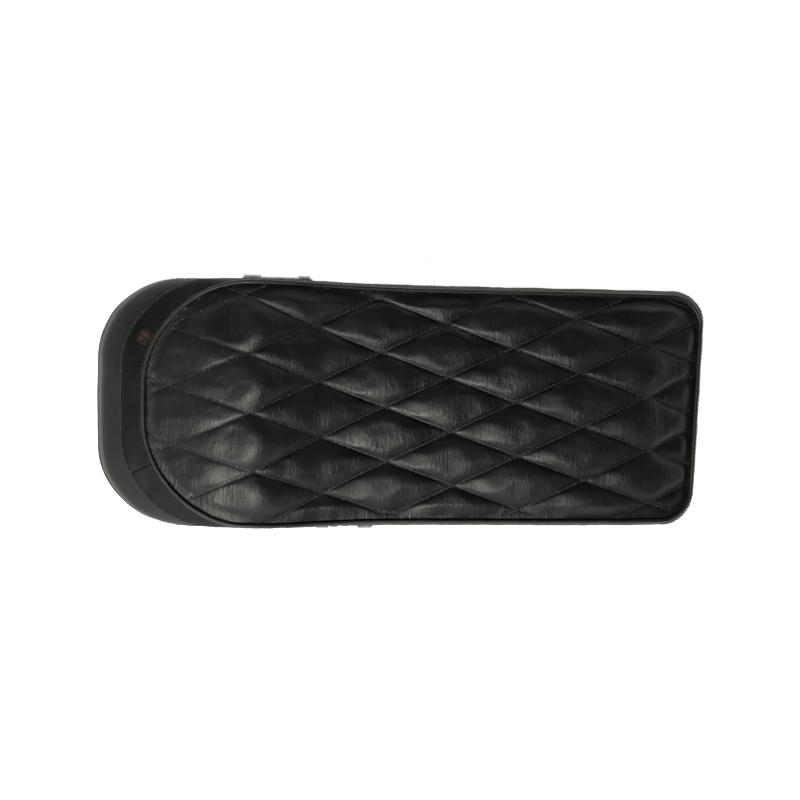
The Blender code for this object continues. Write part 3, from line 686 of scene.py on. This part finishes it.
def make_rubber():
    """Moulded rubber, chalky on top of its mould grain."""
    look = Look("buffer_rubber")
    chalk = look.ramp(look.noise(90.0, 6.0, 0.7), 0.45, 0.72, 0.0, 0.6)
    colour = look.blend(chalk, (0.014, 0.014, 0.014), (0.060, 0.058, 0.054))
    look.bump(((look.noise(500.0, 5.0), 0.00012), (look.cells(400.0), 0.00008)))
    return look.finish(colour, look.ramp(chalk, 0.0, 0.6, 0.68, 0.88), Specular_IOR_Level=0.35)


LOOKS = {
    "quilt_leather": make_quilt_leather(),
    "side_vinyl": make_side_vinyl(),
    "welt_vinyl": make_welt_vinyl(),
    "wadding": make_wadding(),
    "foam": make_foam(),
    "pan_paint": make_pan_paint(),
    "zinc_steel": make_zinc(),
    "spring_steel": make_spring_steel(),
    "buffer_rubber": make_rubber(),
}
THREAD = make_thread()
SHADED_STRIP_LEATHER = make_shaded_strip_leather()


def dress_cad_nodes():
    """Gives each CAD node the detailed material of its slot."""
    for row in frame["record"]["subparts"]:
        node = frame["nodes"][row["node"]]
        node.material_slots[0].material = LOOKS[row["material_slot"]]


def settle(piece, slot, *nodes):
    """A finished piece rides on the seat and stands for these CAD nodes."""
    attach(piece, "seat")
    if nodes:
        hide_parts(*nodes)
    return piece


# --------------------------------------------------------------------- quilting


def crossing_place(u, v):
    """Plan place of column u and row v; both may be fractions."""
    x = np.interp(u, FIRST_COLUMN + np.arange(len(COLUMNS)), COLUMNS)
    growth = 1.0 + REAR_ROW_GROWTH * smooth(-0.05, -0.20, x)
    y = ROW_PITCH * v * growth + ROW_RISE * x
    return x + ROW_LEAN * v, y


def puff_shape(a, b):
    """0 on the stitch lines, which are where a or b is whole, and 1 in mid diamond."""
    fa, fb = a - np.floor(a), b - np.floor(b)
    return (16 * fa * (1 - fa) * fb * (1 - fb)) ** 0.62


class Quilt:
    """The grid of the quilted top, its edges along the stitch lines."""

    def __init__(self):
        low, high = -6, 7
        numbers = np.arange(low * CELL_STEPS, high * CELL_STEPS + 1)
        a, b = np.meshgrid(numbers / CELL_STEPS, numbers / CELL_STEPS, indexing="ij")
        count = len(numbers)
        self.a, self.b = a.ravel(), b.ravel()
        x, y = crossing_place(self.a + self.b, self.a - self.b)
        inset = WELT_RADIUS + RIM_GAP
        share, spine, reach = rim_share(x, y, inset)
        inside = (share < 1.0).reshape(count, count)
        keep = inside[:-1, :-1] | inside[1:, :-1] | inside[:-1, 1:] | inside[1:, 1:]
        index = np.arange(count * count).reshape(count, count)
        corners = [index[:-1, :-1], index[1:, :-1], index[1:, 1:], index[:-1, 1:]]
        quads = np.stack([c[keep] for c in corners], axis=1)
        used = np.unique(quads)
        renumber = np.zeros(count * count, int)
        renumber[used] = np.arange(len(used))
        self.quads = renumber[quads]
        x, y, share, spine, reach = (value[used] for value in (x, y, share, spine, reach))
        self.a, self.b = self.a[used], self.b[used]
        outside = share >= 1.0
        x = np.where(outside, spine + (x - spine) / share, x)
        y = np.where(outside, y / share, y)
        self.x, self.y, self.share = x, y, np.minimum(share, 1.0)
        self.rim = outside
        whole_a = np.abs(self.a - np.round(self.a)) < 1e-6
        whole_b = np.abs(self.b - np.round(self.b)) < 1e-6
        self.stitched = whole_a | whole_b
        self.from_rim = (1.0 - self.share) * reach

    def top(self):
        """Heights of the leather before the simulation."""
        plain = deck_z(self.x, self.share)
        tuck = 1.0 - smooth(0.0, 0.011, self.from_rim)
        lift = PUFF * puff_shape(self.a, self.b) * smooth(0.0, 0.016, self.from_rim)
        lift *= 1.0 - REAR_FLATNESS * smooth(-0.15, -0.19, self.x)
        return plain - GROOVE * (1.0 - tuck) + lift - 0.0016 * tuck

    def points(self, z):
        return np.stack([slanted(self.x, self.y), self.y, z], axis=1)

    def boundary(self):
        """Directed edges that belong to one face only."""
        edges = np.concatenate([self.quads[:, [i, (i + 1) % 4]] for i in range(4)])
        seen = {(int(p), int(q)) for p, q in edges}
        return [(p, q) for p, q in seen if (q, p) not in seen]

    def closed(self, name, top, bottom, material):
        """A closed body between two sets of heights or points on this grid."""
        count = len(self.x)
        faces = [tuple(int(i) for i in quad) for quad in self.quads]
        under = [tuple(int(i) + count for i in reversed(quad)) for quad in self.quads]
        wall = [(q, p, p + count, q + count) for p, q in self.boundary()]
        obj = mesh_object(name, np.concatenate([top, bottom]), faces + under + wall, material)
        outward(obj)
        return obj


def inflate(quilt, start):
    """Blows the leather up between its stitch lines by a cloth simulation."""
    faces = [tuple(int(i) for i in quad) for quad in quilt.quads]
    cloth = mesh_object("quilt_cloth", start, faces, LOOKS["quilt_leather"])
    pins = cloth.vertex_groups.new(name="pins")
    held = np.nonzero(quilt.stitched | quilt.rim)[0]
    pins.add([int(i) for i in held], 1.0, "REPLACE")
    modifier = cloth.modifiers.new("cloth", "CLOTH")
    settings = modifier.settings
    settings.quality = 4
    settings.mass = 0.25
    settings.vertex_group_mass = "pins"
    settings.pin_stiffness = 1.0
    settings.tension_stiffness = 22.0
    settings.compression_stiffness = 18.0
    settings.shear_stiffness = 9.0
    settings.bending_stiffness = 6.0
    settings.air_damping = 3.0
    settings.shrink_min = -0.006
    settings.use_pressure = True
    settings.uniform_pressure_force = 1.6
    settings.effector_weights.gravity = 0.0
    modifier.collision_settings.use_self_collision = False
    modifier.point_cache.frame_start = 1
    modifier.point_cache.frame_end = 20
    scene = bpy.context.scene
    for number in range(1, 21):
        scene.frame_set(number)
    shaped = cloth.evaluated_get(bpy.context.evaluated_depsgraph_get())
    moved = np.zeros(len(start) * 3)
    shaped.data.vertices.foreach_get("co", moved)
    bpy.data.objects.remove(cloth, do_unlink=True)
    scene.frame_set(1)
    return moved.reshape(-1, 3)


def evened(quilt, shift, passes):
    """The movement averaged over neighbouring points; stitched points keep theirs."""
    ends = np.concatenate([quilt.quads[:, [i, (i + 1) % 4]] for i in range(4)])
    held = quilt.stitched | quilt.rim
    count = np.bincount(ends[:, 0], minlength=len(shift)).astype(float)
    for _ in range(passes):
        total = np.zeros_like(shift)
        np.add.at(total, ends[:, 0], shift[ends[:, 1]])
        shift = np.where(held[:, None], shift, total / np.maximum(count, 1.0)[:, None])
    return shift


def limited(shift, most):
    """The movement eased off so that none of it is longer than this."""
    length = np.linalg.norm(shift, axis=1, keepdims=True)
    return shift * most / np.hypot(length, most)


def build_quilt():
    """The quilted leather, and the wadding that follows its underside."""
    quilt = Quilt()
    start = quilt.points(quilt.top())
    uneven = ripple(start, 0.050, 3) * 0.0004 + ripple(start, 0.016, 4) * 0.00012
    free = ~(quilt.stitched | quilt.rim)
    start[:, 2] += uneven * free
    leather_top = start
    shift = limited(inflate(quilt, start) - start, MOST_INFLATED)
    leather_top = start + evened(quilt, shift, 4)
    plain = deck_z(quilt.x, quilt.share)
    under = leather_top.copy()
    under[:, 2] -= QUILT_LEATHER
    under[quilt.rim, 2] -= RIM_FOLD
    piece = quilt.closed("quilted_top", leather_top, under, LOOKS["quilt_leather"])
    settle(piece, "quilt_leather", "quilted_panel")
    top = under.copy()
    top[:, 2] -= 0.0002
    base = quilt.points(plain - 0.0018 - WADDING)
    near_rim = smooth(0.012, 0.0, quilt.from_rim)
    top[:, 2] -= WADDING_TUCK * near_rim
    for sheet in (top, base):
        sheet[:, 1] *= 1.0 - WADDING_INSET / WELT[0] * near_rim
        sheet[:, 0] *= 1.0 - WADDING_INSET / WELT[1] * near_rim
    base[:, 2] = np.minimum(base[:, 2], top[:, 2] - WADDING_LEAST)
    wadding = quilt.closed("quilt_wadding_layer", top, base, LOOKS["wadding"])
    settle(wadding, "wadding", "quilt_wadding")
    return quilt, leather_top


def quilt_thread(quilt, top):
    """Thread along every stitch line, from crossing to crossing."""
    rows = []
    for fixed, running in ((quilt.a, quilt.b), (quilt.b, quilt.a)):
        whole = np.round(fixed)
        on_line = np.abs(fixed - whole) < 1e-6
        for number in np.unique(whole[on_line]):
            chosen = np.nonzero(on_line & (whole == number) & ~quilt.rim)[0]
            chosen = chosen[np.argsort(running[chosen])]
            if len(chosen) < 8:
                continue
            path = top[chosen].copy()
            path[:, 2] += 0.00055
            ups = np.tile((0.0, 0.0, 1.0), (len(path), 1))
            rows.append(stitch_row(path, ups))
    return settle(thread_object("quilt_thread", rows, THREAD), "quilt_leather")


# -------------------------------------------------------------------- the cover


def build_welt():
    """The piping: a covered cord, with small puckers where it is sewn."""
    steps = even_steps(0, LOOP, 0.0022)[:-1]
    centre = ring(WELT, steps, lambda x: welt_z(x) - 0.0006)
    ahead = np.roll(centre, -1, axis=0) - np.roll(centre, 1, axis=0)
    ahead /= np.linalg.norm(ahead, axis=1, keepdims=True)
    out = np.cross(ahead, (0.0, 0.0, 1.0))
    out /= np.linalg.norm(out, axis=1, keepdims=True)
    up = np.cross(out, ahead)
    radius = WELT_RADIUS * (1.0 + 0.035 * ripple(centre, 0.010, 11))
    centre[:, 2] += 0.0004 * ripple(centre, 0.060, 12)
    rings = []
    for i in range(14):
        turn = 2 * math.pi * i / 14
        offset = out * math.cos(turn) + up * math.sin(turn)
        rings.append(centre + offset * radius[:, None])
    piece = loft("piping", rings, LOOKS["welt_vinyl"], True, True)
    return settle(piece, "welt_vinyl", "welt_piping")


def band_grid(start, end):
    """Outer points of a length of shoulder strip, gathered between its two seams."""
    steps = even_steps(start, end, 0.0011)
    upper = mix(WELT, SEAM, 0.14)
    middle = tuple(a + b for a, b in zip(mix(WELT, SEAM, 0.55), (0.0008,) * 5))
    controls = [
        ring(upper, steps, lambda x: welt_z(x) - 0.0036, 0.0009),
        ring(upper, steps, lambda x: welt_z(x) - 0.0042, -0.0002),
        ring(middle, steps, lambda x: welt_z(x) - 0.0085),
        ring(SEAM, steps, lambda x: seam_z(x) + 0.0032, -0.0002),
        ring(SEAM, steps, lambda x: seam_z(x) + 0.0011, 0.0001),
        ring(SEAM, steps, lambda x: seam_z(x) + 0.0003, 0.0011),
    ]
    grid = spread(controls, 4)
    flat = grid.reshape(-1, 3)
    gathers = ripple(flat, 0.0060, 21, 1).reshape(grid.shape[:2])
    waves = ripple(flat, 0.030, 22).reshape(grid.shape[:2])
    down = np.linspace(0, 1, grid.shape[0])[:, None]
    near_seam = np.exp(-(((down - 0.1) / 0.22) ** 2)) + np.exp(-(((down - 0.88) / 0.25) ** 2))
    amount = 0.00030 * gathers * near_seam + 0.00035 * waves
    fade = smooth(0.0, 0.1, down) * smooth(1.0, 0.9, down)
    return grid + outward_normals(grid) * (amount * fade)[..., None]


def build_bands():
    left, right = BAND_SEAM_STEP, LOOP - BAND_SEAM_STEP
    strips = (
        ("shoulder_strip_rear", "band_rear", left + JOIN_GAP, right - JOIN_GAP),
        ("shoulder_strip_front", "band_front", right + JOIN_GAP, LOOP + left - JOIN_GAP),
    )
    rows = []
    for name, node, start, end in strips:
        grid = band_grid(start, end)
        piece = thick_sheet(name, grid, VINYL, SHADED_STRIP_LEATHER)
        settle(piece, "quilt_leather", node)
        normal = outward_normals(grid)
        for row in (4, grid.shape[0] - 8):
            path = grid[row] + normal[row] * TOPSTITCH_LIFT
            rows.append(stitch_row(path, normal[row], *TOPSTITCH))
    settle(thread_object("shoulder_thread", rows, THREAD), "side_vinyl")


def skirt_grid(start, end):
    """Outer points of a wall panel, from the seam down and round under the hem."""
    steps = even_steps(start, end, FABRIC_STEP)
    controls = [
        ring(SEAM, steps, lambda x: seam_z(x), 0.0011),
        ring(SEAM, steps, lambda x: seam_z(x) - 0.0008, 0.0001),
        ring(SEAM, steps, lambda x: seam_z(x) - 0.0030, -0.0002),
        ring(mix(SEAM, WAIST, 0.5), steps, lambda x: side_z(x, 0.82)),
        ring(WAIST, steps, lambda x: side_z(x, 0.66)),
        ring(mix(WAIST, BULGE, 0.5), steps, lambda x: side_z(x, 0.48), -0.0004),
        ring(BULGE, steps, lambda x: side_z(x, 0.30)),
        ring(mix(BULGE, HEM, 0.5), steps, lambda x: side_z(x, 0.13), -0.0004),
        ring(HEM, steps, HEM_Z + 0.0016),
        ring(HEM, steps, HEM_Z + 0.0003, 0.0004),
        ring(HEM, steps, HEM_Z, 0.0016),
        ring(HEM, steps, HEM_Z, 0.0060),
        ring(HEM, steps, HEM_Z, 0.0120),
    ]
    grid = spread(controls, 4)
    flat = grid.reshape(-1, 3)
    wall = smooth(HEM_Z + 0.003, HEM_Z + 0.014, grid[..., 2])
    dents = ripple(flat, 0.090, 31).reshape(grid.shape[:2]) * 0.0008
    small = ripple(flat, 0.028, 32).reshape(grid.shape[:2]) * 0.00025
    roll = -0.0009 * np.exp(-(((grid[..., 2] - HEM_Z - 0.017) / 0.0028) ** 2))
    roll += 0.0005 * np.exp(-(((grid[..., 2] - HEM_Z - 0.010) / 0.0040) ** 2))
    return grid + outward_normals(grid) * ((dents + small + roll) * wall)[..., None]


def build_skirts():
    front, rear = FRONT_SEAM_STEP, REAR_SEAM_STEP
    panels = (
        ("side_panel_front", "skirt_front", -front, front),
        ("side_panel_left", "skirt_left", front, rear),
        ("side_panel_rear", "skirt_rear", rear, LOOP - rear),
        ("side_panel_right", "skirt_right", LOOP - rear, LOOP - front),
    )
    rows = []
    for name, node, start, end in panels:
        grid = skirt_grid(start + JOIN_GAP, end - JOIN_GAP)
        piece = thick_sheet(name, grid, VINYL, LOOKS["side_vinyl"])
        settle(piece, "side_vinyl", node)
        normal = outward_normals(grid)
        for column in (2, grid.shape[1] - 3):
            ups = normal[PANEL_SEAM_ROWS, column]
            path = grid[PANEL_SEAM_ROWS, column] + ups * TOPSTITCH_LIFT
            rows.append(stitch_row(path, ups, *TOPSTITCH))
    settle(thread_object("panel_thread", rows, THREAD), "side_vinyl")


def build_foam():
    """The moulded foam block, flat where it rests on the pan."""
    half = even_steps(0, HALF_LOOP, 0.0060)
    steps = np.concatenate([half, LOOP - half[-2:0:-1]])
    pan_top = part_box("foam_core")[0].z
    rings = []
    drop = 0.0102
    for share in (0.02, 0.15, 0.3, 0.45, 0.58, 0.7, 0.8, 0.88, 0.94, 0.98, 1.0):
        rim_x, rim_y = outline(WELT, steps, 0.0060)
        spine = np.clip(rim_x, SPINE_REAR, SPINE_FRONT)
        x = spine + share * (rim_x - spine)
        y = share * rim_y
        rings.append(np.stack([slanted(x, y), y, deck_z(x, share + 0 * x) - drop], axis=1))
    rings += [
        ring(SEAM, steps, lambda x: seam_z(x) - 0.0012, 0.0062),
        ring(WAIST, steps, lambda x: side_z(x, 0.66), 0.0056),
        ring(BULGE, steps, pan_top, 0.0062),
    ]
    stack = np.stack(rings)
    rows, count = stack.shape[:2]
    faces = []
    for i in range(rows - 1):
        for j in range(count):
            k = (j + 1) % count
            faces.append((i * count + j, i * count + k, (i + 1) * count + k, (i + 1) * count + j))
    for i in (0, rows - 1):
        for j in range(count // 2):
            quad = (j, j + 1, count - j - 1, (count - j) % count)
            face = [i * count + c for c in dict.fromkeys(quad)]
            if len(face) > 2:
                faces.append(tuple(face))
    foam = mesh_object("foam_block", stack.reshape(-1, 3), faces, LOOKS["foam"])
    outward(foam)
    settle(foam, "foam", "foam_core")
    return foam


# ------------------------------------------------------------------ the picture


FLOOR_Z = -0.0005
FLOOR_GLOW = 0.95
# Radius and height of the floor's rings, from the flat part up the backdrop.
BACKDROP_PROFILE = ((10.8, 0.0), (11.4, 0.05), (11.8, 0.25), (12.0, 0.60), (12.0, 1.50))


def build_floor():
    """A pale floor that turns up into a low round backdrop."""
    sides = 48
    points, faces = [(0.0, 0.0, FLOOR_Z)], []
    for radius, height in BACKDROP_PROFILE:
        for i in range(sides):
            turn = 2 * math.pi * i / sides
            points.append((radius * math.cos(turn), radius * math.sin(turn), FLOOR_Z + height))
    for i in range(sides):
        j = (i + 1) % sides
        faces.append((0, 1 + i, 1 + j))
        for row in range(len(BACKDROP_PROFILE) - 1):
            a, b = 1 + row * sides, 1 + (row + 1) * sides
            faces.append((a + i, b + i, b + j, a + j))
    look = Look("floor")
    look.shader.inputs["Emission Color"].default_value = (1.0, 1.0, 1.0, 1.0)
    look.shader.inputs["Emission Strength"].default_value = FLOOR_GLOW
    material = look.finish((0.9, 0.9, 0.9), 0.9, Specular_IOR_Level=0.1)
    mesh_object("floor", points, faces, material)


# The sky is as pale as the backdrop just above it and dark overhead: the range of
# the view direction's height, then the two strengths.
SKY_FALL = (0.11, 0.32, 0.90, 0.006)
LIGHT_COLOUR = (1.0, 1.0, 0.93)


def area_light(name, place, target, size, power):
    data = bpy.data.lights.new(name, "AREA")
    data.shape = "RECTANGLE"
    data.size, data.size_y = size
    data.energy = power
    data.color = LIGHT_COLOUR
    light = bpy.data.objects.new(name, data)
    light.location = place
    aim = Vector(target) - Vector(place)
    light.rotation_euler = aim.to_track_quat("-Z", "Y").to_euler()
    bpy.context.scene.collection.objects.link(light)


CAMERA_DISTANCE = 1.40
CAMERA_TILT = math.radians(7.07)
CAMERA_SIDE = math.radians(1.49)
CAMERA_ROLL = math.radians(0.96)
CAMERA_TARGET = Vector((-0.0118, 0.0058, 0.085))
METRES_ACROSS = 0.800 * 1.027


def build_camera():
    """A camera almost straight above, tilted a little towards the rear."""
    back = Vector((
        -math.sin(CAMERA_TILT) * math.cos(CAMERA_SIDE),
        math.sin(CAMERA_SIDE),
        math.cos(CAMERA_TILT) * math.cos(CAMERA_SIDE),
    )).normalized()
    right = Vector((0.0, 1.0, 0.0)).cross(back).normalized()
    up = back.cross(right)
    turn_c, turn_s = math.cos(CAMERA_ROLL), math.sin(CAMERA_ROLL)
    right, up = right * turn_c + up * turn_s, up * turn_c - right * turn_s
    data = bpy.data.cameras.new("camera")
    data.sensor_width = 36.0
    data.lens = 36.0 * CAMERA_DISTANCE / METRES_ACROSS
    camera = bpy.data.objects.new("camera", data)
    turn = Matrix((right, up, back)).transposed().to_4x4()
    camera.matrix_world = Matrix.Translation(CAMERA_TARGET + back * CAMERA_DISTANCE) @ turn
    bpy.context.scene.collection.objects.link(camera)
    bpy.context.scene.camera = camera


def build_lights():
    area_light("key", (-0.80, -1.25, 2.00), (0.0, 0.0, 0.08), (0.8, 0.8), 60.0)
    world = bpy.data.worlds.new("world")
    world.use_nodes = True
    nodes, links = world.node_tree.nodes, world.node_tree.links
    background = nodes["Background"]
    background.inputs["Color"].default_value = (1.0, 1.0, 1.0, 1.0)
    direction = nodes.new("ShaderNodeTexCoord")
    parts = nodes.new("ShaderNodeSeparateXYZ")
    links.new(direction.outputs["Generated"], parts.inputs[0])
    fall = nodes.new("ShaderNodeMapRange")
    fall.interpolation_type = "SMOOTHSTEP"
    for socket, value in zip(("From Min", "From Max", "To Min", "To Max"), SKY_FALL):
        fall.inputs[socket].default_value = value
    links.new(parts.outputs["Z"], fall.inputs["Value"])
    links.new(fall.outputs["Result"], background.inputs["Strength"])
    bpy.context.scene.world = world
    bpy.context.scene.view_settings.view_transform = "Standard"


dress_cad_nodes()
build_foam()
quilt, quilt_top = build_quilt()
quilt_thread(quilt, quilt_top)
build_welt()
build_bands()
build_skirts()
build_floor()
build_lights()
build_camera()
